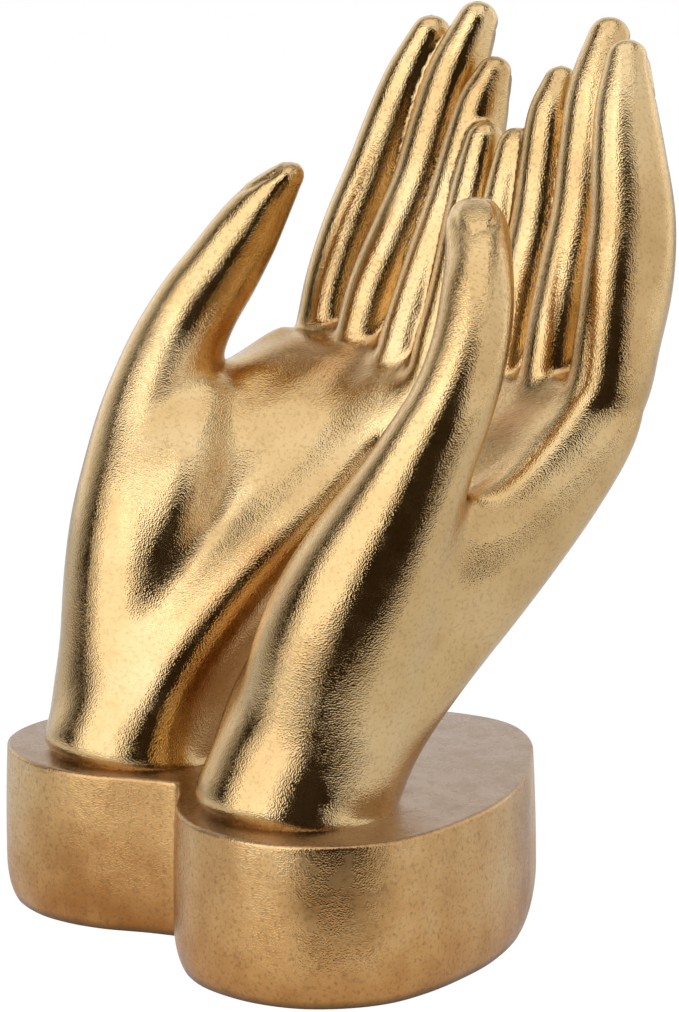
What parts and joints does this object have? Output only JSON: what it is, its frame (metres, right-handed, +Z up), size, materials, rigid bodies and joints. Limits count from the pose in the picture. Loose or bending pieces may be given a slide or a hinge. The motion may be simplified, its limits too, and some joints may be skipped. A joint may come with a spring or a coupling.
{
  "type": "hands sculpture",
  "caption": "Decorative sculpture of open, cupped hands held side by side, rising from a heart-shaped plinth",
  "frame": {"origin": "on the plinth's flat underside, under the middle of its heart-shaped footprint", "axes": "+Z up, -Y the side that the palms face, +X the side of the hand whose thumb is on the right as the palms face the viewer"},
  "size_m": [0.131, 0.1194, 0.1942],
  "materials": {
    "gold_leaf": "gold leaf over cast resin, fine pebbled grain, browner in the creases"
  },
  "bodies": {
    "root": {"hands_sculpture": "gold_leaf"}
  },
  "joints": []
}
